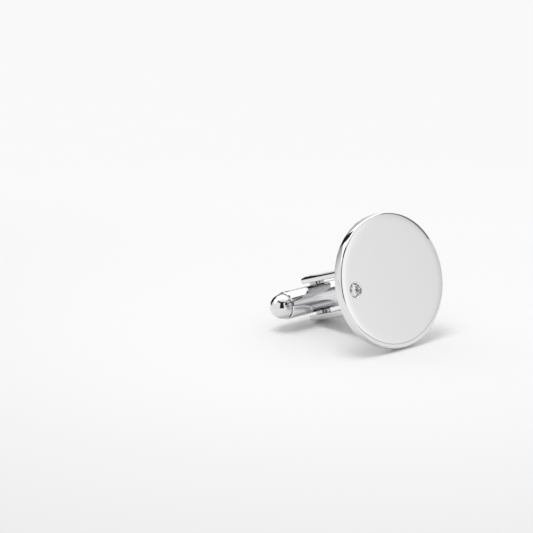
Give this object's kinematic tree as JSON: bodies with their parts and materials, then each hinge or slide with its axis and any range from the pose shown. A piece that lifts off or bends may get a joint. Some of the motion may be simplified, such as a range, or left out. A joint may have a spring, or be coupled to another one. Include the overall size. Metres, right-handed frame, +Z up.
{
  "type": "cufflink",
  "caption": "Round polished cufflink with a small inset stone near the edge of its face, a U-shaped fork and a domed toggle that swings on a cross pin.",
  "frame": {"origin": "middle of the bounding box on the ground, where the cufflink lies on the rim of its face and the end of its lower arm", "axes": "+Z up, +X along the locked toggle, -Y the side that the face looks to"},
  "size_m": [0.016, 0.017, 0.0156],
  "materials": {
    "polished_steel": "mirror polished",
    "bright_rim": "mirror polished",
    "plain_steel": "turned",
    "spring_steel": "drawn wire",
    "crystal": "faceted and polished"
  },
  "bodies": {
    "face_and_fork": {"face_disc": "polished_steel", "stone_setting": "bright_rim", "stone": "crystal", "u_arm": "polished_steel", "pivot_pin": "plain_steel", "upper_washer": "plain_steel", "lower_washer": "plain_steel"},
    "toggle": {"toggle_barrel": "polished_steel", "left_end_cap": "polished_steel", "right_end_cap": "polished_steel", "detent_plunger": "plain_steel", "detent_spring": "spring_steel"}
  },
  "joints": [
    {"name": "toggle_swing", "type": "hinge", "parent": "face_and_fork", "child": "toggle", "pos_m": [0, 0.00655, 0.00301], "axis": [0, 0.3472, 0.9378], "continuous": true}
  ]
}
